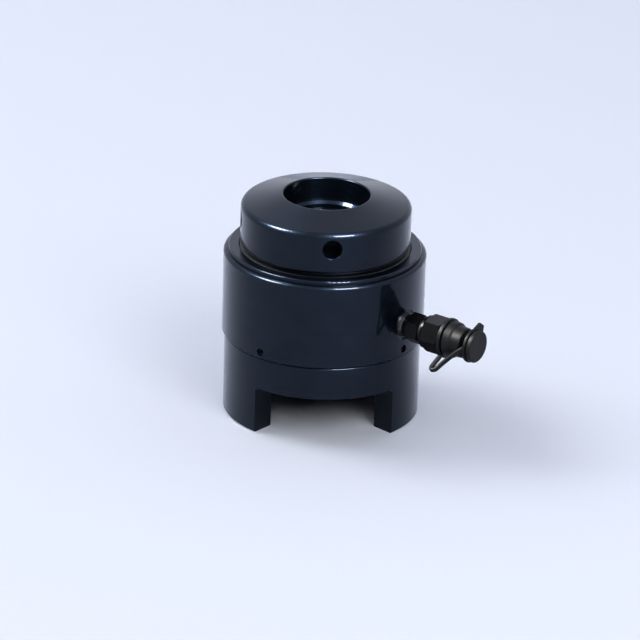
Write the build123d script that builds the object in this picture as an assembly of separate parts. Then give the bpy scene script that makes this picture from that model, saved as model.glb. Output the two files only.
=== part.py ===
from build123d import *
import os
from math import cos, radians, sin, sqrt, tan

# A hydraulic bolt tensioner for one M56 stud, in millimetres.
# The origin is on the stud's axis at the foot of the bridge, and +Z points up along the stud.
# The bridge's window faces -Y.

# Fits, as radial or axial clearances
running = 0.05
seal_fit = 0.02
loose = 0.3
thread_gap = 0.05

# How far a cutter runs past the face it opens
past = 1.0

# Stud and puller
stud_thread_r = 28.0
shank_wall = 10.0
flange_r = 63.0
flange_side = 30.4
flange_foot_chamfer = 1.8
shoulder_fillet = 4.0
mouth_step = 4.0
mouth_depth = 17.6
mouth_rim = 0.9
crown_rise = 7.8
thread_lead_in = 2.0
puller_reach = 69.0
tommy_hole_r = 7.15
tommy_hole_wall = 6.0
tommy_hole_drop = 11.6
tommy_hole_edge = 0.6
tommy_hole_count = 4
puller_turn = 2.2

# Bridge
bridge_inset = 2.0
bridge_shoulder = 60.8
bridge_wall = 17.7
spigot_land = 1.8
nut_space_fillet = 3.0
neck_length = 14.3
neck_clearance = 2.0
window_height = 36.0
window_half_angle = 43.9
window_corner = 3.0
bridge_edge = 1.0
bridge_top_fillet = 1.8
screw_groove_depth = 2.7
screw_groove_play = 0.8

# Cylinder
skirt_wall = 9.0
skirt_gap = 0.5
cylinder_top_fillet = 2.5
cylinder_foot_chamfer = 1.0
boss_wall = 8.3
boss_step = 3.7
boss_height = 3.3
boss_fillet = 1.0
chamber_floor_above_seat = 22.7

# Piston
piston_stroke = 15.0
crown_gap = 2.4
pocket_depth = 1.5
pocket_step = 5.05
piston_width = 17.0
piston_top_land = 2.3
crown_relief = 2.0
crown_chamfer = 0.8
sleeve_wall = 7.65
sleeve_overlap = 3.4

# Seals, as groove width and depth
seal_width = 3.4
backup_width = 2.2
seal_depth = 5.0
seal_lip = 1.2
piston_seal_offset = 2.5
inner_seal_offset = 4.0
wiper_width = 2.8
wiper_depth = 3.0
wiper_land = 1.0
wiper_lip_set_back = 0.4
wiper_lip_edge = 0.6
wiper_lip_foot = 0.8
stop_ring_width = 2.4
stop_ring_depth = 2.4
stop_ring_gap = 9.0
stop_ring_below_top = 5.6

# Set screws
set_screw_r = 3.0
set_screw_count = 4
set_screw_recess = 2.0
set_screw_point_r = 2.2
set_screw_key = 3.0
set_screw_key_depth = 3.0
set_screw_chamfer = 0.5
set_screw_height = 5.2
first_set_screw = -1.5

# Port and coupler, as stations along the coupler's own axis
port_turn = -38.2
port_above_foot = 23.9
port_spot_margin = 2.5
port_spot_depth = 0.4
port_thread_r = 6.55
port_thread_depth = 13.0
oil_way_r = 2.0
oil_way_inset = 5.5
washer_width = 2.45
washer_thickness = 3.2
adapter_neck_wall = 2.05
adapter_neck = 3.2
adapter_flats = 20.0
adapter_hex_length = 11.1
adapter_stem = 11.0
adapter_front_stem = 8.5
adapter_cup_wall = 1.5
adapter_cup_clearance = 0.5
adapter_seal_width = 2.35
adapter_seal_thickness = 3.3
nipple_collar_step = 2.0
nipple_collar = 1.4
nipple_flats = 24.4
nipple_hex_length = 14.7
strap_groove_wall = 4.4
strap_groove = 3.8
nipple_rim_step = 2.6
nipple_rim = 1.0
nose_wall = 3.7
nose_length = 11.6
lock_groove_depth = 0.9
lock_groove_width = 3.0
lock_groove_offset = 4.0
nose_chamfer = 0.8
hex_chamfer_angle = 30.0
hex_land_inset = 0.3
valve_chamber_step = 0.55
valve_seat_step = 2.0
valve_seat_offset = 6.5
nipple_turn = 6.4
adapter_turn = 22.0

# Valve
poppet_travel = 2.5
poppet_head_clearance = 0.5
poppet_head = 7.0
poppet_tail_r = 2.0
poppet_tail_reach = 0.5
retainer_thickness = 2.0
retainer_holes = 4
retainer_hole_r = 0.9
spring_wire_r = 0.45
spring_inset = 1.25
spring_turns = 5
poppet_ring_width = 1.6
poppet_ring_depth = 1.0

# Rubber cap and strap
cap_bore_clearance = 0.35
cap_skirt_wall = 3.85
cap_skirt = 5.6
cap_skirt_taper = 0.7
cap_step_slope = 1.2
cap_body_wall = 1.55
cap_shoulder_wall = 0.9
cap_body_taper = 0.4
cap_wall = 2.2
cap_waist_r = 6.8
cap_waist = 6.0
cap_knob_r = 12.0
cap_knob = 3.4
cap_fillet = 1.0
cap_shoulder_fillet = 1.5
strap_thickness = 2.2
strap_width = 6.5
collar_eye_width = 4.3
knob_eye_width = 5.7
knob_eye_gap = 0.4
tab_length = 4.4
tab_tip = 6.2
tab_turn = 53.0
strap_leave_turn = 40.0
strap_return_turn = 5.0
strap_loop_drop = 13.4
strap_loop_gap = 3.4
strap_root = 1.5

# Heights that follow from the sizes above
skirt_z = bridge_shoulder + skirt_gap
set_screw_z = skirt_z + set_screw_height
groove_low = set_screw_z - set_screw_point_r - screw_groove_play
groove_high = set_screw_z + set_screw_point_r + screw_groove_play
seat_z = groove_high + spigot_land
nut_space_height = seat_z - neck_length
chamber_floor = seat_z + chamber_floor_above_seat
piston_seal_z = chamber_floor + pocket_depth + piston_seal_offset
land_top = piston_seal_z + seal_width + backup_width + piston_top_land
stop_ring_z = land_top + piston_stroke
boss_top = stop_ring_z + stop_ring_width + stop_ring_below_top
cylinder_top = boss_top - boss_height
flange_z = boss_top + crown_gap
flange_top = flange_z + flange_side
puller_top = flange_top + crown_rise
mouth_floor = puller_top - mouth_depth
puller_foot = flange_z - puller_reach
tommy_hole_z = flange_top - tommy_hole_drop
inner_seal_z = chamber_floor - inner_seal_offset - seal_width
sleeve_foot = inner_seal_z - backup_width - piston_stroke - sleeve_overlap
port_height = skirt_z + port_above_foot
wiper_z = boss_top - wiper_land - wiper_width

# Radii that follow, from the stud outwards
puller_shank_r = stud_thread_r + shank_wall
mouth_r = stud_thread_r + mouth_step
tommy_hole_floor_r = mouth_r + tommy_hole_wall
piston_hole_r = puller_shank_r + loose
sleeve_r = piston_hole_r + sleeve_wall
sleeve_bore_r = sleeve_r + running
neck_r = sleeve_bore_r + neck_clearance
pocket_r = sleeve_r + pocket_step
piston_bore_r = sleeve_bore_r + piston_width
piston_r = piston_bore_r - running
piston_crown_r = piston_bore_r - crown_relief
stop_ring_r = piston_crown_r + loose
oil_way_up_r = piston_bore_r - oil_way_inset
boss_r = piston_bore_r + boss_wall
cylinder_r = boss_r + boss_step
skirt_bore_r = cylinder_r - skirt_wall
spigot_r = skirt_bore_r - running
spigot_groove_r = spigot_r - screw_groove_depth
bridge_r = cylinder_r - bridge_inset
nut_space_r = bridge_r - bridge_wall

# Radii of the coupler that follow, about its own axis
washer_r = port_thread_r + washer_width
port_spot_r = washer_r + port_spot_margin
adapter_neck_r = port_thread_r + adapter_neck_wall
adapter_stem_r = port_thread_r - thread_gap
adapter_cup_r = adapter_stem_r - adapter_cup_wall
adapter_seal_r = port_thread_r + adapter_seal_width
valve_chamber_r = port_thread_r - valve_chamber_step
valve_seat_r = valve_chamber_r - valve_seat_step
strap_groove_r = valve_chamber_r + strap_groove_wall
nipple_collar_r = strap_groove_r + nipple_collar_step
nose_r = valve_chamber_r + nose_wall
nipple_rim_r = nose_r + nipple_rim_step
poppet_head_r = valve_chamber_r - poppet_head_clearance
retainer_hole_circle_r = (poppet_tail_r + valve_chamber_r) / 2
spring_r = valve_chamber_r - spring_inset - spring_wire_r
nose_bore_r = nose_r + cap_bore_clearance
cap_body_r = nose_bore_r + cap_body_wall
cap_skirt_r = nose_bore_r + cap_skirt_wall
collar_eye_r = strap_groove_r + loose + collar_eye_width
knob_eye_r = cap_waist_r + loose + knob_eye_width
tab_reach = knob_eye_r + tab_length
strap_loop_reach = collar_eye_r + strap_loop_drop

# Stations along the coupler's axis, from the stud's axis outwards
adapter_cup_depth = poppet_tail_reach + poppet_travel + adapter_cup_clearance
port_face = sqrt(cylinder_r**2 - port_spot_r**2) - port_spot_depth
adapter_foot = port_face + washer_thickness
adapter_hex_back = adapter_foot + adapter_neck
adapter_front = adapter_hex_back + adapter_hex_length
nipple_back = adapter_front + adapter_seal_thickness
stem_front = adapter_front + adapter_front_stem
retainer_front = stem_front + retainer_thickness
hex_back = nipple_back + nipple_collar
hex_front = hex_back + nipple_hex_length
rim_back = hex_front + strap_groove
rim_front = rim_back + nipple_rim
nose_front = rim_front + nose_length
seat_back = nose_front - valve_seat_offset - (valve_chamber_r - valve_seat_r)
seat_front = nose_front - valve_seat_offset
cap_foot = rim_front + loose
cap_step = cap_foot + cap_skirt
cap_shoulder = nose_front + loose + cap_shoulder_wall
cap_waist_back = nose_front + loose + cap_wall
knob_back = cap_waist_back + cap_waist
knob_front = knob_back + cap_knob
collar_eye_back = hex_front + (strap_groove - strap_thickness) / 2
knob_eye_back = knob_back - knob_eye_gap - strap_thickness


def turned(*outline):
    """A solid of revolution about Z from (radius, height) corners."""
    face = make_face(Plane.XZ * Polyline(*outline, close=True))
    return revolve(face, Axis.Z)


def ring(outer, inner, low, high):
    """A plain ring about Z between two heights."""
    return turned((inner, low), (outer, low), (outer, high), (inner, high))


def drilled(radius, low, high):
    """A straight round cutter about Z between two heights."""
    return Pos(0, 0, (low + high) / 2) * Cylinder(radius, high - low)


def grooved(bore_r, depth, low, width):
    """The ring cutter of a groove in a bore's wall."""
    return ring(bore_r + depth, bore_r - past, low, low + width)


def round_edges(part, radius, height):
    """The circular edges of a turned part at this radius and height."""
    circles = part.edges().filter_by(GeomType.CIRCLE)
    return [e for e in circles if abs(e.radius - radius) < 0.01 and abs(e.arc_center.Z - height) < 0.01]


def outwards(turn, height=0):
    """The plane at this height whose normal points out of the stud's axis, turned from +X."""
    out = (cos(radians(turn)), sin(radians(turn)), 0)
    side = (-sin(radians(turn)), cos(radians(turn)), 0)
    return Plane(origin=(0, 0, height), x_dir=side, z_dir=out)


def hexagon(flats, low, high, turn):
    """A hexagon nut form about Z, its corners bevelled down to a round land at both ends."""
    corner_r = flats / sqrt(3)
    land_r = flats / 2 - hex_land_inset
    prism = extrude(RegularPolygon(corner_r, 6, rotation=turn), high - low)
    drop = (corner_r - land_r) * tan(radians(hex_chamfer_angle))
    envelope = turned(
        (0, low), (land_r, low), (corner_r, low + drop),
        (corner_r, high - drop), (land_r, high), (0, high),
    )
    return Pos(0, 0, low) * prism & envelope


def lipped_seal(outer, inner, low, high):
    """A seal ring with a V groove in its upper or lower face, on the side the pressure comes from."""
    middle = (outer + inner) / 2
    return turned(
        (inner, low), (middle - seal_lip, low), (middle, low + seal_lip), (middle + seal_lip, low),
        (outer, low), (outer, high), (inner, high),
    )


def make_bridge():
    """The foot that stands over the nut, with its window and the spigot that carries the cylinder."""
    body = turned(
        (nut_space_r, 0), (bridge_r - bridge_edge, 0), (bridge_r, bridge_edge),
        (bridge_r, bridge_shoulder), (spigot_r, bridge_shoulder),
        (spigot_r, groove_low), (spigot_groove_r, groove_low),
        (spigot_groove_r, groove_high), (spigot_r, groove_high), (spigot_r, seat_z - bridge_edge),
        (spigot_r - bridge_edge, seat_z), (neck_r, seat_z), (neck_r, nut_space_height),
        (nut_space_r, nut_space_height),
    )
    body = fillet(round_edges(body, nut_space_r, nut_space_height), nut_space_fillet)
    body = fillet(round_edges(body, bridge_r, bridge_shoulder), bridge_top_fillet)
    reach = 2 * bridge_r
    side = reach * tan(radians(window_half_angle))
    wedge = extrude(make_face(Polyline((0, 0), (side, -reach), (-side, -reach), close=True)), window_height)
    top_sides = [
        e for e in wedge.edges()
        if abs(e.center().Z - window_height) < 0.01 and abs(e.center().Y + reach / 2) < 0.01
    ]
    return body - fillet(top_sides, window_corner)


def make_cylinder_body():
    """The load cell: a stepped bore, a boss ring, three ring grooves inside, and the oil port."""
    body = turned(
        (sleeve_bore_r, seat_z), (skirt_bore_r, seat_z), (skirt_bore_r, skirt_z),
        (cylinder_r - cylinder_foot_chamfer, skirt_z), (cylinder_r, skirt_z + cylinder_foot_chamfer),
        (cylinder_r, cylinder_top), (boss_r, cylinder_top), (boss_r, boss_top),
        (piston_bore_r + boss_fillet, boss_top), (piston_bore_r, boss_top - boss_fillet),
        (piston_bore_r, chamber_floor), (sleeve_bore_r, chamber_floor),
    )
    body = fillet(round_edges(body, cylinder_r, cylinder_top), cylinder_top_fillet)
    body = fillet(round_edges(body, boss_r, boss_top), boss_fillet)
    body -= grooved(sleeve_bore_r, seal_depth, inner_seal_z - backup_width, seal_width + backup_width)
    body -= grooved(piston_bore_r, stop_ring_depth, stop_ring_z, stop_ring_width)
    body -= grooved(piston_bore_r, wiper_depth, wiper_z, wiper_width)
    port = outwards(port_turn, port_height)
    body -= port * drilled(port_spot_r, port_face, cylinder_r + past)
    body -= port * drilled(port_thread_r, port_face - port_thread_depth, cylinder_r)
    body -= port * drilled(oil_way_r, oil_way_up_r, port_face - port_thread_depth + past)
    upright = Pos(oil_way_up_r * cos(radians(port_turn)), oil_way_up_r * sin(radians(port_turn)), 0)
    body -= upright * drilled(oil_way_r, port_height - oil_way_r, chamber_floor + past)
    for turn in set_screw_turns():
        body -= outwards(turn, set_screw_z) * drilled(set_screw_r, skirt_bore_r - past, cylinder_r + past)
    return body


def set_screw_turns():
    """The set screws' turns from +X: one stands under the port."""
    return [port_turn + first_set_screw + k * 360 / set_screw_count for k in range(set_screw_count)]


def make_set_screws():
    """Dog-point set screws that run in the bridge's groove."""
    tip = spigot_groove_r + loose
    shoulder = skirt_bore_r + running
    top = cylinder_r - set_screw_recess
    r = set_screw_r - thread_gap
    screw = turned(
        (0, tip), (set_screw_point_r, tip), (set_screw_point_r, shoulder),
        (r, shoulder + set_screw_chamfer), (r, top - set_screw_chamfer),
        (r - set_screw_chamfer, top), (0, top),
    )
    key = extrude(RegularPolygon(set_screw_key / 2, 6, major_radius=False), set_screw_key_depth)
    screw -= Pos(0, 0, top - set_screw_key_depth) * key
    return Compound(children=[outwards(turn, set_screw_z) * screw for turn in set_screw_turns()])


def make_stroke_stop_ring():
    """The split ring near the top of the bore that the piston's land meets at full stroke."""
    stop = ring(piston_bore_r + stop_ring_depth - running, stop_ring_r, stop_ring_z + running,
                stop_ring_z + stop_ring_width - running)
    gap = Pos(piston_bore_r, 0, stop_ring_z) * Box(4 * stop_ring_depth, stop_ring_gap, 3 * stop_ring_width)
    return stop - Rot(0, 0, port_turn + 180) * gap


def make_piston_wiper():
    """The lip ring at the mouth of the bore that keeps dirt off the piston."""
    low, high = wiper_z + running, wiper_z + wiper_width - running
    lip = piston_crown_r + running
    outer = piston_bore_r + wiper_depth - running
    return turned(
        (piston_bore_r, low), (outer, low), (outer, high), (piston_bore_r - wiper_lip_set_back, high),
        (lip, high), (lip, high - wiper_lip_edge), (piston_bore_r, low + wiper_lip_foot),
    )


def make_piston():
    """The stepped ring piston: sealed land, relieved crown, and the sleeve that runs in the lower bore."""
    groove_high = piston_seal_z + seal_width + backup_width
    groove_r = piston_r - seal_depth
    return turned(
        (piston_hole_r, sleeve_foot), (sleeve_r - bridge_edge, sleeve_foot),
        (sleeve_r, sleeve_foot + bridge_edge), (sleeve_r, chamber_floor),
        (pocket_r, chamber_floor), (pocket_r, chamber_floor + pocket_depth),
        (piston_r, chamber_floor + pocket_depth), (piston_r, piston_seal_z), (groove_r, piston_seal_z),
        (groove_r, groove_high), (piston_r, groove_high), (piston_r, land_top), (piston_crown_r, land_top),
        (piston_crown_r, flange_z - crown_chamfer), (piston_crown_r - crown_chamfer, flange_z),
        (piston_hole_r, flange_z),
    )


def make_piston_seal():
    outer, inner = piston_bore_r - seal_fit, piston_r - seal_depth + seal_fit
    return lipped_seal(outer, inner, piston_seal_z + seal_fit, piston_seal_z + seal_width)


def make_piston_backup_ring():
    low = piston_seal_z + seal_width + seal_fit
    outer, inner = piston_bore_r - seal_fit, piston_r - seal_depth + seal_fit
    return ring(outer, inner, low, low + backup_width - 2 * seal_fit)


def make_inner_seal():
    """The rod seal of the sleeve, its lips up towards the chamber."""
    outer, inner = sleeve_bore_r + seal_depth - seal_fit, sleeve_r + seal_fit
    seal = lipped_seal(outer, inner, 0, seal_width - seal_fit)
    return Pos(0, 0, inner_seal_z + seal_width - seal_fit) * Rot(180, 0, 0) * seal


def make_inner_backup_ring():
    low = inner_seal_z - backup_width + seal_fit
    return ring(sleeve_bore_r + seal_depth - seal_fit, sleeve_r + seal_fit, low, inner_seal_z - seal_fit)


def make_puller():
    """The cone-topped flange and threaded shank that is screwed down the stud onto the piston."""
    body = turned(
        (stud_thread_r + thread_lead_in, puller_foot), (puller_shank_r - thread_lead_in, puller_foot),
        (puller_shank_r, puller_foot + thread_lead_in), (puller_shank_r, flange_z),
        (flange_r - flange_foot_chamfer, flange_z), (flange_r, flange_z + flange_foot_chamfer),
        (flange_r, flange_top), (mouth_r, puller_top),
        (mouth_r, mouth_floor), (stud_thread_r + thread_lead_in, mouth_floor),
        (stud_thread_r, mouth_floor - thread_lead_in), (stud_thread_r, puller_foot + thread_lead_in),
    )
    body = fillet(round_edges(body, flange_r, flange_top), shoulder_fillet)
    body = fillet(round_edges(body, mouth_r, puller_top), mouth_rim)
    mouth = flange_r - tommy_hole_edge
    hole = turned(
        (0, tommy_hole_floor_r), (tommy_hole_r, tommy_hole_floor_r), (tommy_hole_r, mouth),
        (tommy_hole_r + 2 * tommy_hole_edge, flange_r + tommy_hole_edge), (0, flange_r + tommy_hole_edge),
    )
    for k in range(tommy_hole_count):
        turn = puller_turn - 90 + k * 360 / tommy_hole_count
        body -= outwards(turn, tommy_hole_z) * hole
    return body


def make_port_seal_washer():
    return ring(washer_r, port_thread_r + running, port_face, adapter_foot)


def make_port_adapter():
    """The double stem that joins the port to the nipple, with a short neck and its own hexagon."""
    stem_back = port_face - adapter_stem
    body = hexagon(adapter_flats, adapter_hex_back, adapter_front, adapter_turn)
    body += drilled(adapter_neck_r, adapter_foot, adapter_hex_back)
    body += drilled(adapter_stem_r, stem_back, adapter_foot)
    body += drilled(adapter_stem_r, adapter_front, stem_front)
    body -= drilled(oil_way_r, stem_back - past, stem_front + past)
    return body - drilled(adapter_cup_r, stem_front - adapter_cup_depth, stem_front + past)


def make_adapter_seal():
    return ring(adapter_seal_r, port_thread_r + running, adapter_front, nipple_back)


def make_coupler_nipple():
    """The self-sealing half coupling: collar, hexagon, strap groove, rim and nose, bored for its valve."""
    shell = turned(
        (port_thread_r, nipple_back), (nipple_collar_r, nipple_back), (nipple_collar_r, hex_back),
        (strap_groove_r, hex_back), (strap_groove_r, rim_back), (nipple_rim_r, rim_back),
        (nipple_rim_r, rim_front), (nose_r, rim_front), (nose_r, rim_front + lock_groove_offset),
        (nose_r - lock_groove_depth, rim_front + lock_groove_offset + lock_groove_depth),
        (nose_r - lock_groove_depth, rim_front + lock_groove_offset + lock_groove_width),
        (nose_r, rim_front + lock_groove_offset + lock_groove_width + lock_groove_depth),
        (nose_r, nose_front - nose_chamfer), (nose_r - nose_chamfer, nose_front),
        (valve_seat_r, nose_front), (valve_seat_r, seat_front), (valve_chamber_r, seat_back),
        (valve_chamber_r, retainer_front), (port_thread_r, retainer_front),
    )
    hexagonal = hexagon(nipple_flats, hex_back, hex_front, nipple_turn)
    return shell + (hexagonal - drilled(strap_groove_r - past, hex_back - past, hex_front + past))


def make_spring_retainer():
    """The perforated disc that the adapter's stem clamps, which backs the spring and guides the poppet."""
    disc = ring(port_thread_r - running, poppet_tail_r + running, stem_front, retainer_front)
    hole = drilled(retainer_hole_r, stem_front - past, retainer_front + past)
    for k in range(retainer_holes):
        disc -= Rot(0, 0, k * 360 / retainer_holes) * Pos(retainer_hole_circle_r, 0, 0) * hole
    return disc


def make_valve_poppet():
    """The poppet: tail in the retainer, head on the cone seat, and a front pin flush with the nose."""
    cone_front = seat_front - running
    head_front = cone_front - (poppet_head_r - valve_seat_r)
    pin_r = valve_seat_r - running
    ring_low = nose_front - valve_seat_offset / 2
    return turned(
        (0, stem_front - poppet_tail_reach), (poppet_tail_r, stem_front - poppet_tail_reach),
        (poppet_tail_r, head_front - poppet_head), (poppet_head_r, head_front - poppet_head),
        (poppet_head_r, head_front), (pin_r, head_front + poppet_head_r - pin_r),
        (pin_r, ring_low), (pin_r - poppet_ring_depth, ring_low),
        (pin_r - poppet_ring_depth, ring_low + poppet_ring_width), (pin_r, ring_low + poppet_ring_width),
        (pin_r, nose_front), (0, nose_front),
    )


def make_poppet_seal():
    low = nose_front - valve_seat_offset / 2 + seal_fit
    inner = valve_seat_r - running - poppet_ring_depth + seal_fit
    return ring(valve_seat_r - seal_fit, inner, low, low + poppet_ring_width - 2 * seal_fit)


def make_valve_spring():
    """The coil between the retainer and the poppet's head."""
    head_back = seat_front - running - (poppet_head_r - valve_seat_r) - poppet_head
    low, high = retainer_front + spring_wire_r + running, head_back - spring_wire_r - running
    coil = Helix((high - low) / spring_turns, high - low, spring_r)
    section = Plane(origin=coil @ 0, z_dir=coil % 0) * Circle(spring_wire_r)
    return Pos(0, 0, low) * sweep(section, path=coil, is_frenet=True)


def make_dust_cap():
    """The rubber cap: a skirt over the nose, a waist for the strap's eye, and a knob to pull it by."""
    cap = turned(
        (nose_bore_r, cap_foot), (cap_skirt_r, cap_foot),
        (cap_skirt_r - cap_skirt_taper, cap_step - cap_step_slope), (cap_body_r, cap_step),
        (cap_body_r - cap_body_taper, cap_shoulder), (cap_waist_r, cap_waist_back), (cap_waist_r, knob_back),
        (cap_knob_r, knob_back), (cap_knob_r, knob_front), (0, knob_front),
        (0, nose_front + loose), (nose_bore_r, nose_front + loose),
    )
    softened = round_edges(cap, cap_knob_r, knob_front) + round_edges(cap, cap_knob_r, knob_back)
    cap = fillet(softened, cap_fillet)
    return fillet(round_edges(cap, cap_body_r - cap_body_taper, cap_shoulder), cap_shoulder_fillet)


def eye_point(turn, reach, station):
    """A point beside the coupler: turned down from its near side, at a distance from its axis."""
    return Vector(-reach * cos(radians(turn)), 0, station) + Vector(0, -reach * sin(radians(turn)), 0)


def make_lanyard_strap():
    """The moulded strap: an eye in the nipple's groove, a hairpin band, and an eye with a tab at the knob."""
    collar_eye_front = collar_eye_back + strap_thickness
    knob_eye_front = knob_eye_back + strap_thickness
    collar_eye = ring(collar_eye_r, strap_groove_r + loose, collar_eye_back, collar_eye_front)
    knob_eye = ring(knob_eye_r, cap_waist_r + loose, knob_eye_back, knob_eye_front)
    flank = knob_eye_r - past / 2
    tab = Polyline((0, flank), (tab_reach, tab_tip / 2), (tab_reach, -tab_tip / 2), (0, -flank), close=True)
    tab = Pos(0, 0, knob_eye_back) * Rot(0, 0, tab_turn) * extrude(make_face(tab), strap_thickness)
    knob_eye += tab - drilled(knob_eye_r - past, knob_eye_back - past, knob_eye_front + past)
    middle = strap_thickness / 2
    leave = eye_point(strap_leave_turn, collar_eye_r - strap_root, collar_eye_back + middle)
    arrive = eye_point(strap_return_turn, knob_eye_r - strap_root, knob_eye_back + middle)
    turn_point = eye_point(strap_leave_turn, strap_loop_reach, collar_eye_back + middle)
    across = (turn_point - leave).cross(arrive - leave).normalized()
    out = (turn_point - leave).normalized()
    bend = Plane(origin=leave, x_dir=out, z_dir=across)
    reach = (turn_point - leave).length
    home = bend.to_local_coords(arrive)
    route = FilletPolyline(
        (0, 0), (reach, 0), (reach, strap_loop_gap), (home.X, home.Y), radius=strap_loop_gap * 0.47,
    )
    band = bend * extrude(trace(route, strap_thickness), strap_width / 2, both=True)
    return collar_eye + knob_eye + band


def main():
    os.makedirs("parts", exist_ok=True)
    coupler = outwards(port_turn, port_height)
    upright = {
        "bridge": make_bridge(),
        "cylinder_body": make_cylinder_body(),
        "set_screws": make_set_screws(),
        "stroke_stop_ring": make_stroke_stop_ring(),
        "piston_wiper": make_piston_wiper(),
        "piston": make_piston(),
        "piston_seal": make_piston_seal(),
        "piston_backup_ring": make_piston_backup_ring(),
        "inner_seal": make_inner_seal(),
        "inner_backup_ring": make_inner_backup_ring(),
        "puller": make_puller(),
    }
    along_port = {
        "port_seal_washer": make_port_seal_washer(),
        "port_adapter": make_port_adapter(),
        "adapter_seal": make_adapter_seal(),
        "coupler_nipple": make_coupler_nipple(),
        "spring_retainer": make_spring_retainer(),
        "valve_poppet": make_valve_poppet(),
        "poppet_seal": make_poppet_seal(),
        "valve_spring": make_valve_spring(),
        "dust_cap": make_dust_cap(),
        "lanyard_strap": make_lanyard_strap(),
    }
    for name, part in upright.items():
        export_step(part, f"parts/{name}.step")
    for name, part in along_port.items():
        export_step(coupler * part, f"parts/{name}.step")


main()
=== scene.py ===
"""Looks of the hydraulic bolt tensioner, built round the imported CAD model. Lengths are in metres."""

import math

import bpy
from mathutils import Matrix, Vector


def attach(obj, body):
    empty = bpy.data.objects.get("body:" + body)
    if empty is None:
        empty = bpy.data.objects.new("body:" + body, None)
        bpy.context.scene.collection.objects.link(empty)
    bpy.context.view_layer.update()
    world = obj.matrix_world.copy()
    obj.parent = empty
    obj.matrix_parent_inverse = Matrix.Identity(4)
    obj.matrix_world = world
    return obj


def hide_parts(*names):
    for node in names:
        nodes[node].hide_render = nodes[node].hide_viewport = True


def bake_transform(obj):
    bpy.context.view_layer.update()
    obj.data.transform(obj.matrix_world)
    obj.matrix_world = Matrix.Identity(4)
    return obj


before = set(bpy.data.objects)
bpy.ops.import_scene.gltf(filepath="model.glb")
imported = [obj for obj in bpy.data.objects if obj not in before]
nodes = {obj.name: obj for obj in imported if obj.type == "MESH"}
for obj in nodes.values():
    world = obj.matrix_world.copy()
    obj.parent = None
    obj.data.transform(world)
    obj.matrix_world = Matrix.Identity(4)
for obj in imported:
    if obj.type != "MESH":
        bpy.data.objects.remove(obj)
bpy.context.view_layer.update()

MM = 0.001

# The coupler leaves the cylinder sideways; its shapes turn round this line.
port_turn = math.radians(-38.2)
port_height = 85.2 * MM
port_along = Vector((math.cos(port_turn), math.sin(port_turn), 0))
port_near = Vector((math.sin(port_turn), -math.cos(port_turn), 0))
port_origin = Vector((0, 0, port_height))

# Sizes that the detailed pieces share with the CAD model
thread_root_r = 28 * MM
thread_pitch = 5.5 * MM
thread_low = 64.3 * MM
thread_high = 150.1 * MM
collar_eye_inner, collar_eye_outer = 10.7, 15.0
collar_eye_back, collar_eye_front = 111.1, 114.2
knob_eye_inner, knob_eye_outer = 7.1, 12.8
knob_eye_back, knob_eye_front = 132.9, 135.1
tab_turn = math.radians(53)
tab_reach = 17.2
spring_turns = 5
spring_r, spring_wire_r = 4.3, 0.45
spring_back, spring_front = 102.213, 111.463

# The camera looks down at the front window from a little to the left of it.
camera_side = math.radians(2.7)
camera_rise = math.radians(23.3)
camera_roll = math.radians(1.8)
camera_distance = 3.342
camera_lens = 253
aim_height = 68 * MM
aim_left = 2.1 * MM


# Shader nodes

def add(tree, kind, inputs=None, **settings):
    """A new node of that kind with its settings and inputs. An input is a value or another node's output."""
    node = tree.nodes.new(kind)
    for name, value in settings.items():
        setattr(node, name, value)
    for name, value in (inputs or {}).items():
        if isinstance(value, bpy.types.NodeSocket):
            tree.links.new(value, node.inputs[name])
        else:
            node.inputs[name].default_value = value
    return node


def math_node(tree, operation, *values):
    node = add(tree, "ShaderNodeMath", dict(enumerate(values)), operation=operation)
    return node.outputs[0]


def finish(name, **sockets):
    """A new material with a Principled surface, and that surface's node and tree."""
    material = bpy.data.materials.new(name)
    material.use_nodes = True
    surface = material.node_tree.nodes["Principled BSDF"]
    for socket, value in sockets.items():
        surface.inputs[socket.replace("_", " ")].default_value = value
    return material, material.node_tree, surface


def colour(red, green, blue):
    return (red, green, blue, 1.0)


def lathe_place(tree, sideways):
    """A place given as distance from the turning axis and distance along it, so a pattern made from it runs in rings."""
    place = add(tree, "ShaderNodeTexCoord").outputs["Object"]
    if sideways:
        place = add(
            tree, "ShaderNodeMapping",
            {"Vector": place, "Location": -port_origin},
        ).outputs[0]
        place = add(
            tree, "ShaderNodeVectorRotate",
            {"Vector": place, "Axis": (-port_along.y, port_along.x, 0), "Angle": -math.pi / 2},
            rotation_type="AXIS_ANGLE",
        ).outputs[0]
    parts = add(tree, "ShaderNodeSeparateXYZ", {0: place})
    across = math_node(tree, "SQRT", math_node(
        tree, "ADD",
        math_node(tree, "MULTIPLY", parts.outputs[0], parts.outputs[0]),
        math_node(tree, "MULTIPLY", parts.outputs[1], parts.outputs[1]),
    ))
    return add(tree, "ShaderNodeCombineXYZ", {0: across, 2: parts.outputs[2]}).outputs[0]


def noise(tree, place, scale, detail=2.0, rough=0.5):
    node = add(
        tree, "ShaderNodeTexNoise",
        {"Vector": place, "Scale": scale, "Detail": detail, "Roughness": rough},
    )
    return node.outputs["Fac"]


def between(tree, amount, low, high):
    """The amount, which is a pattern from 0 to 1, stretched to run from low to high."""
    return add(
        tree, "ShaderNodeMapRange",
        {"Value": amount, "From Min": 0.3, "From Max": 0.7, "To Min": low, "To Max": high},
    ).outputs[0]


def blend_colours(tree, amount, first, second):
    return add(
        tree, "ShaderNodeMix", {0: amount, 6: first, 7: second}, data_type="RGBA",
    ).outputs[2]


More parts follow.
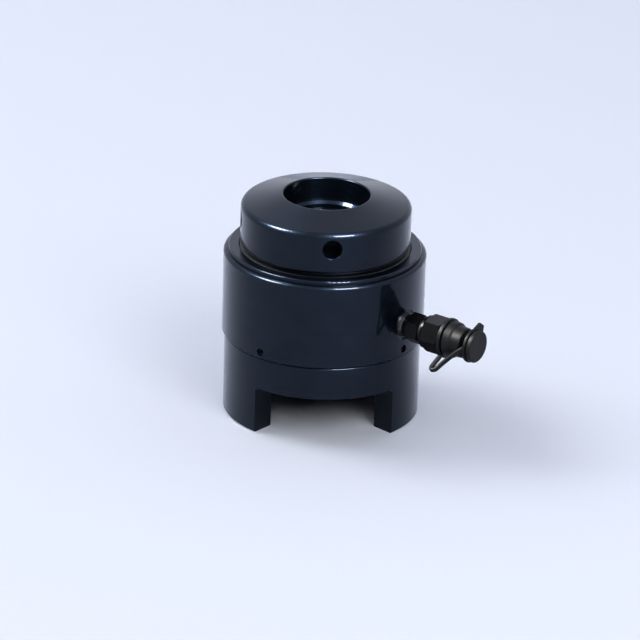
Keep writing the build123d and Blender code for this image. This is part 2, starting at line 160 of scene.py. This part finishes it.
def machined(name, dark, light, rough, tool_marks, sideways=False, **sockets):
    """Turned steel: rings left by the tool, and a finish that is a little uneven all over."""
    material, tree, surface = finish(name, **sockets)
    place = add(tree, "ShaderNodeTexCoord").outputs["Object"]
    rings = noise(tree, lathe_place(tree, sideways), 1500, detail=1.0)
    patches = noise(tree, place, 55, detail=4.0)
    grain = noise(tree, place, 2600, detail=2.0)
    tint = math_node(tree, "MULTIPLY_ADD", rings, 0.35, math_node(tree, "MULTIPLY", patches, 0.65))
    tree.links.new(
        blend_colours(tree, between(tree, tint, 0, 1), colour(*dark), colour(*light)),
        surface.inputs["Base Color"],
    )
    tree.links.new(between(tree, tint, *rough), surface.inputs["Roughness"])
    relief = math_node(tree, "MULTIPLY_ADD", grain, 0.3, rings)
    bump = add(
        tree, "ShaderNodeBump",
        {"Height": relief, "Strength": tool_marks, "Distance": 0.02 * MM},
    )
    tree.links.new(bump.outputs[0], surface.inputs["Normal"])
    return material


def moulded(name, dark, light, rough, grain_height, **sockets):
    """Rubber or plastic: a fine grain and soft patches of handling."""
    material, tree, surface = finish(name, **sockets)
    place = add(tree, "ShaderNodeTexCoord").outputs["Object"]
    patches = noise(tree, place, 120, detail=5.0)
    grain = noise(tree, place, 3200, detail=3.0)
    tree.links.new(
        blend_colours(tree, between(tree, patches, 0, 1), colour(*dark), colour(*light)),
        surface.inputs["Base Color"],
    )
    tree.links.new(between(tree, patches, *rough), surface.inputs["Roughness"])
    bump = add(
        tree, "ShaderNodeBump",
        {"Height": grain, "Strength": grain_height, "Distance": 0.03 * MM},
    )
    tree.links.new(bump.outputs[0], surface.inputs["Normal"])
    return material


black_steel = machined(
    "black_steel", (0.0050, 0.0086, 0.0156), (0.0070, 0.0113, 0.0196),
    rough=(0.30, 0.36), tool_marks=0.2, Metallic=1.0, Specular_Tint=colour(0.70, 0.72, 0.78),
    Anisotropic=0.5, Anisotropic_Rotation=0.25, Coat_Weight=1.0, Coat_IOR=1.2, Coat_Roughness=0.05,
)
tree = black_steel.node_tree
tree.links.new(
    add(tree, "ShaderNodeTangent", direction_type="RADIAL", axis="Z").outputs[0],
    tree.nodes["Principled BSDF"].inputs["Tangent"],
)
coupler_steel = machined(
    "coupler_steel", (0.0026, 0.0030, 0.0035), (0.0062, 0.0060, 0.0060),
    rough=(0.32, 0.42), tool_marks=0.2, sideways=True, Metallic=1.0,
    Coat_Weight=1.0, Coat_IOR=1.16, Coat_Roughness=0.16,
)
piston_steel = machined(
    "piston_steel", (0.0050, 0.0070, 0.0110), (0.0080, 0.0105, 0.0160),
    rough=(0.30, 0.38), tool_marks=0.15, Metallic=1.0, Coat_Weight=1.0, Coat_IOR=1.15, Coat_Roughness=0.1,
)
screw_steel = machined(
    "screw_steel", (0.0020, 0.0022, 0.0026), (0.0040, 0.0042, 0.0048),
    rough=(0.34, 0.44), tool_marks=0.1, IOR=1.35,
)
washer_steel = machined(
    "washer_steel", (0.12, 0.12, 0.125), (0.20, 0.20, 0.205),
    rough=(0.30, 0.40), tool_marks=0.15, sideways=True, Metallic=1.0,
)
valve_steel = machined(
    "valve_steel", (0.40, 0.38, 0.35), (0.50, 0.48, 0.44),
    rough=(0.25, 0.33), tool_marks=0.15, sideways=True, Metallic=1.0,
)
spring_steel = machined(
    "spring_steel", (0.25, 0.25, 0.26), (0.36, 0.36, 0.37),
    rough=(0.28, 0.38), tool_marks=0.05, Metallic=1.0,
)
seal_polymer = moulded(
    "seal_polymer", (0.10, 0.22, 0.30), (0.13, 0.27, 0.36),
    rough=(0.38, 0.46), grain_height=0.1,
)
backup_polymer = moulded(
    "backup_polymer", (0.55, 0.52, 0.44), (0.66, 0.62, 0.53),
    rough=(0.42, 0.50), grain_height=0.1,
)
wiper_rubber = moulded(
    "wiper_rubber", (0.006, 0.006, 0.007), (0.012, 0.012, 0.013),
    rough=(0.50, 0.62), grain_height=0.2,
)
cap_rubber = moulded(
    "cap_rubber", (0.0015, 0.0018, 0.0023), (0.0030, 0.0034, 0.0041),
    rough=(0.40, 0.50), grain_height=0.25, IOR=1.24,
)
finishes = {
    "black_steel": black_steel,
    "coupler_steel": coupler_steel,
    "piston_steel": piston_steel,
    "screw_steel": screw_steel,
    "washer_steel": washer_steel,
    "valve_steel": valve_steel,
    "spring_steel": spring_steel,
    "seal_polymer": seal_polymer,
    "backup_polymer": backup_polymer,
    "wiper_rubber": wiper_rubber,
    "cap_rubber": cap_rubber,
}
for node in nodes.values():
    for slot in node.material_slots:
        slot.material = finishes[slot.material.name.split(".")[0]]


# Detailed pieces

def mesh_piece(name, corners, faces, material, smooth=True):
    """A new mesh object with one material."""
    mesh = bpy.data.meshes.new(name)
    mesh.from_pydata([tuple(corner) for corner in corners], [], faces)
    mesh.materials.append(material)
    mesh.polygons.foreach_set("use_smooth", [smooth] * len(mesh.polygons))
    piece = bpy.data.objects.new(name, mesh)
    bpy.context.scene.collection.objects.link(piece)
    return piece


def strip_faces(rows, count, closed_rows=False, closed_around=True):
    """Quads that join rows of points, each row being a ring or a line of that many points."""
    faces = []
    for i in range(rows if closed_rows else rows - 1):
        j = (i + 1) % rows
        for k in range(count if closed_around else count - 1):
            m = (k + 1) % count
            faces.append((i * count + k, i * count + m, j * count + m, j * count + k))
    return faces


def rounded_section(width, thickness, corner_r, steps=4):
    """Points round a rectangle with rounded corners, about its middle."""
    points = []
    for corner, (x, y) in enumerate(((1, 1), (-1, 1), (-1, -1), (1, -1))):
        for k in range(steps + 1):
            a = math.radians(90 * corner + 90 * k / steps)
            points.append((
                x * (width / 2 - corner_r) + corner_r * math.cos(a),
                y * (thickness / 2 - corner_r) + corner_r * math.sin(a),
            ))
    return points


def thread_ridge():
    """The ridge of the puller's thread, one helix down the bore that fades out at both ends."""
    crest_r = thread_root_r - 0.5413 * thread_pitch
    turns = (thread_high - thread_low) / thread_pitch - 1
    per_turn = 96
    steps = round(turns * per_turn)
    base, crest, bevel = 4.9 * MM, 1.3 * MM, 0.25 * MM
    corners = []
    for i in range(steps + 1):
        a = 2 * math.pi * i / per_turn
        z = thread_low + thread_pitch / 2 + (thread_high - thread_low - thread_pitch) * i / steps
        fade = min(1, i / (0.6 * per_turn), (steps - i) / (0.6 * per_turn))
        fade = fade * fade * (3 - 2 * fade)
        top = thread_root_r - (thread_root_r - crest_r) * fade
        for r, dz in (
            (thread_root_r + 0.1 * MM, -base / 2), (top + bevel, -crest / 2 - bevel / 2), (top, -crest / 2 + bevel),
            (top, crest / 2 - bevel), (top + bevel, crest / 2 + bevel / 2), (thread_root_r + 0.1 * MM, base / 2),
        ):
            corners.append((r * math.cos(a), r * math.sin(a), z + dz * max(fade, 0.05)))
    faces = strip_faces(steps + 1, 6, closed_around=True)
    faces += [tuple(range(6)), tuple(steps * 6 + k for k in reversed(range(6)))]
    return mesh_piece("thread_ridge", corners, faces, black_steel)


def on_coupler(station, near, down):
    """A point by its station along the coupler, its distance to the camera's side and its distance down, in mm."""
    return port_origin + (port_along * station + port_near * near - Vector((0, 0, down))) * MM


def moulded_ring(inner, outer, back, front, corner_r):
    """A ring with rounded edges about the coupler's axis."""
    section = rounded_section(front - back, outer - inner, corner_r)
    count = 96
    corners = []
    for i in range(count):
        a = 2 * math.pi * i / count
        for x, y in section:
            r = (inner + outer) / 2 + y
            corners.append(on_coupler((back + front) / 2 + x, r * math.cos(a), r * math.sin(a)))
    return corners, strip_faces(count, len(section), closed_rows=True)


def band_along(route, width, thickness, corner_r, across):
    """A strap swept along smooth points, its width always across the hairpin's plane."""
    curve = bpy.data.curves.new("route", "CURVE")
    curve.dimensions = "3D"
    curve.resolution_u = 12
    spline = curve.splines.new("NURBS")
    spline.points.add(len(route) - 1)
    for point, place in zip(spline.points, route):
        point.co = (*on_coupler(*place), 1)
    spline.order_u = 4
    spline.use_endpoint_u = True
    holder = bpy.data.objects.new("route", curve)
    line = [v.co.copy() for v in bpy.data.meshes.new_from_object(holder).vertices]
    bpy.data.objects.remove(holder)
    section = rounded_section(width, thickness, corner_r)
    corners = []
    for i, place in enumerate(line):
        ahead = (line[min(i + 1, len(line) - 1)] - line[max(i - 1, 0)]).normalized()
        depth = ahead.cross(across).normalized()
        corners += [place + (across * x + depth * y) * MM for x, y in section]
    count = len(section)
    faces = strip_faces(len(line), count)
    last = (len(line) - 1) * count
    faces += [tuple(reversed(range(count))), tuple(last + k for k in range(count))]
    return corners, faces


def tab_plate(back, front, foot, reach, foot_width, tip_width, turn):
    """The pull tab, a flat plate that narrows outwards from the knob's eye."""
    corners = []
    for station in (back, front):
        for out, side in (
            (foot, foot_width / 2), (reach - 0.6, tip_width / 2), (reach, tip_width / 2 - 0.6),
            (reach, 0.6 - tip_width / 2), (reach - 0.6, -tip_width / 2), (foot, -foot_width / 2),
        ):
            far = out * math.cos(turn) - side * math.sin(turn)
            up = out * math.sin(turn) + side * math.cos(turn)
            corners.append(on_coupler(station, -far, -up))
    faces = [tuple(range(6)), tuple(reversed(range(6, 12)))]
    faces += [(k, 6 + k, 6 + (k + 1) % 6, (k + 1) % 6) for k in range(6)]
    return corners, faces


def rubber_strap():
    """The strap: an eye in the nipple's groove, a hairpin band, and an eye with a tab at the knob, moulded as one."""
    across = (port_near * 0.64 + Vector((0, 0, 0.77))).normalized()
    route = (
        (112.6, 8.4, 10.4), (112.5, 11.5, 12.3), (112.0, 15.0, 14.6), (111.6, 18.4, 16.8), (111.8, 21.2, 18.6),
        (116.2, 20.6, 17.8), (118.6, 17.2, 13.6), (124.0, 14.0, 7.6), (129.5, 11.6, 1.8), (134.0, 9.4, -1.6),
    )
    parts = [
        moulded_ring(collar_eye_inner, collar_eye_outer, collar_eye_back, collar_eye_front, 0.7),
        moulded_ring(knob_eye_inner, knob_eye_outer, knob_eye_back, knob_eye_front, 0.5),
        band_along(route, 4.0, 2.3, 0.7, across),
        tab_plate(knob_eye_back, knob_eye_front, 2.0, tab_reach, 24.0, 6.2, tab_turn),
    ]
    corners, faces = [], []
    for more_corners, more_faces in parts:
        faces += [tuple(len(corners) + k for k in face) for face in more_faces]
        corners += more_corners
    strap = mesh_piece("rubber_strap", corners, faces, cap_rubber)
    bore = knob_eye_cutter()
    cut = strap.modifiers.new("cut", "BOOLEAN")
    cut.operation, cut.object, cut.solver = "DIFFERENCE", bore, "EXACT"
    cut.use_self = True
    merge = strap.modifiers.new("merge", "REMESH")
    merge.mode, merge.voxel_size = "VOXEL", 0.35 * MM
    merge.use_smooth_shade = True
    soften = strap.modifiers.new("soften", "SMOOTH")
    soften.factor, soften.iterations = 0.5, 3
    shape = bpy.data.meshes.new_from_object(strap.evaluated_get(bpy.context.evaluated_depsgraph_get()))
    strap.modifiers.clear()
    strap.data = shape
    bpy.data.objects.remove(bore)
    if not shape.materials:
        shape.materials.append(cap_rubber)
    return strap


def knob_eye_cutter():
    """A plug that keeps the tab's foot out of the knob eye's hole."""
    count = 96
    corners = []
    for station in (knob_eye_back - 1, knob_eye_front + 1):
        for i in range(count):
            a = 2 * math.pi * i / count
            corners.append(on_coupler(station, knob_eye_inner * math.cos(a), knob_eye_inner * math.sin(a)))
    faces = strip_faces(2, count)
    faces += [tuple(reversed(range(count))), tuple(count + k for k in range(count))]
    return mesh_piece("knob_eye_cutter", corners, faces, cap_rubber)


def coil_spring():
    """The valve's spring, a coil of round wire about the coupler's axis."""
    per_turn, around = 32, 10
    steps = spring_turns * per_turn
    corners = []
    for i in range(steps + 1):
        a = 2 * math.pi * i / per_turn
        station = spring_back + (spring_front - spring_back) * i / steps
        for k in range(around):
            b = 2 * math.pi * k / around
            r = spring_r + spring_wire_r * math.cos(b)
            near, down = -r * math.cos(a), -r * math.sin(a)
            corners.append(on_coupler(station - spring_wire_r * math.sin(b), near, down))
    faces = strip_faces(steps + 1, around)
    faces += [tuple(reversed(range(around))), tuple(steps * around + k for k in range(around))]
    return mesh_piece("spring_coil", corners, faces, spring_steel)


ridge = thread_ridge()
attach(ridge, "puller")

strap = rubber_strap()
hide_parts("lanyard_strap")
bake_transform(strap)

# The spring's back end sits on its retainer, and its front end on the poppet.
coil = coil_spring()
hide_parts("valve_spring")
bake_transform(coil)


# Stage: a plain pale floor that runs far back, with soft light.

floor_mesh = bpy.data.meshes.new("floor")
reach = 6.0
floor_mesh.from_pydata(
    [(-reach, -reach, 0), (reach, -reach, 0), (reach, reach, 0), (-reach, reach, 0)], [], [(0, 1, 2, 3)],
)
floor = bpy.data.objects.new("floor", floor_mesh)
bpy.context.scene.collection.objects.link(floor)
floor_white, _, _ = finish(
    "floor_white", Base_Color=colour(0.84, 0.88, 0.985), Roughness=0.9, Specular_IOR_Level=0.0,
)
floor_mesh.materials.append(floor_white)


def lamp(name, side, rise, distance, width, height, power, glossy):
    """A soft box aimed at the object, placed by its angle to the right of the camera and its angle of height.
    The broad boxes light the scene, and the glossy ones are what the polished edges mirror."""
    data = bpy.data.lights.new(name, "AREA")
    data.shape = "RECTANGLE"
    data.size, data.size_y = width, height
    data.energy = power
    lamp_object = bpy.data.objects.new(name, data)
    turn = -math.pi / 2 - camera_side + math.radians(side)
    up = math.radians(rise)
    away = Vector((math.cos(turn) * math.cos(up), math.sin(turn) * math.cos(up), math.sin(up)))
    lamp_object.location = away * distance + Vector((0, 0, 80 * MM))
    lamp_object.rotation_euler = away.to_track_quat("Z", "Y").to_euler()
    lamp_object.visible_glossy = glossy
    lamp_object.visible_diffuse = not glossy
    bpy.context.scene.collection.objects.link(lamp_object)


lamp("key", side=33, rise=40, distance=4.0, width=1.9, height=2.3, power=57, glossy=False)
lamp("side", side=-110, rise=46, distance=4.0, width=1.8, height=1.8, power=60, glossy=False)
lamp("front", side=0, rise=35, distance=4.0, width=2.6, height=1.2, power=24, glossy=False)
lamp("key_gloss", side=28, rise=42, distance=2.2, width=0.85, height=0.7, power=190, glossy=True)
lamp("side_gloss", side=-84, rise=50, distance=2.2, width=0.85, height=0.7, power=190, glossy=True)

world = bpy.data.worlds.new("studio")
bpy.context.scene.world = world
world.use_nodes = True
sky = world.node_tree
background = sky.nodes["Background"]
toward = add(sky, "ShaderNodeTexCoord").outputs["Generated"]
direction = add(sky, "ShaderNodeSeparateXYZ", {0: toward})
ray = add(sky, "ShaderNodeLightPath")


def ramp(value, low, high, first, last):
    return add(
        sky, "ShaderNodeMapRange",
        {"Value": value, "From Min": low, "From Max": high, "To Min": first, "To Max": last},
        interpolation_type="SMOOTHSTEP",
    ).outputs[0]


overhead = math_node(
    sky, "MULTIPLY",
    math_node(
        sky, "MULTIPLY",
        ramp(direction.outputs[2], 0.30, 0.45, 0.0, 1.25), ramp(direction.outputs[2], 0.88, 0.97, 1.0, 0.0),
    ),
    ramp(direction.outputs[1], -0.5, -0.1, 0.0, 1.0),
)
# The sky lights the object from overhead only. The camera and reflections see it as one pale background.
seen = overhead
for kind in ("Is Camera Ray", "Is Glossy Ray", "Is Transmission Ray"):
    seen = math_node(sky, "MAXIMUM", seen, ray.outputs[kind])
sky.links.new(
    add(sky, "ShaderNodeMix", {0: seen, 6: colour(0, 0, 0), 7: colour(0.84, 0.88, 1.0)},
        data_type="RGBA").outputs[2],
    background.inputs["Color"],
)
background.inputs["Strength"].default_value = 1.0

scene = bpy.context.scene
scene.view_settings.view_transform = "Standard"

camera_data = bpy.data.cameras.new("camera")
camera_data.lens = camera_lens
camera_data.clip_end = 50
camera = bpy.data.objects.new("camera", camera_data)
scene.collection.objects.link(camera)
scene.camera = camera
outward = Vector((
    -math.sin(camera_side) * math.cos(camera_rise),
    -math.cos(camera_side) * math.cos(camera_rise),
    math.sin(camera_rise),
))
camera_right = Vector((math.cos(camera_side), -math.sin(camera_side), 0))
aim = Vector((0, 0, aim_height)) - camera_right * aim_left
facing = outward.to_track_quat("Z", "Y").to_matrix().to_4x4()
camera.matrix_world = (
    Matrix.Translation(aim + outward * camera_distance) @ facing @ Matrix.Rotation(camera_roll, 4, "Z")
)
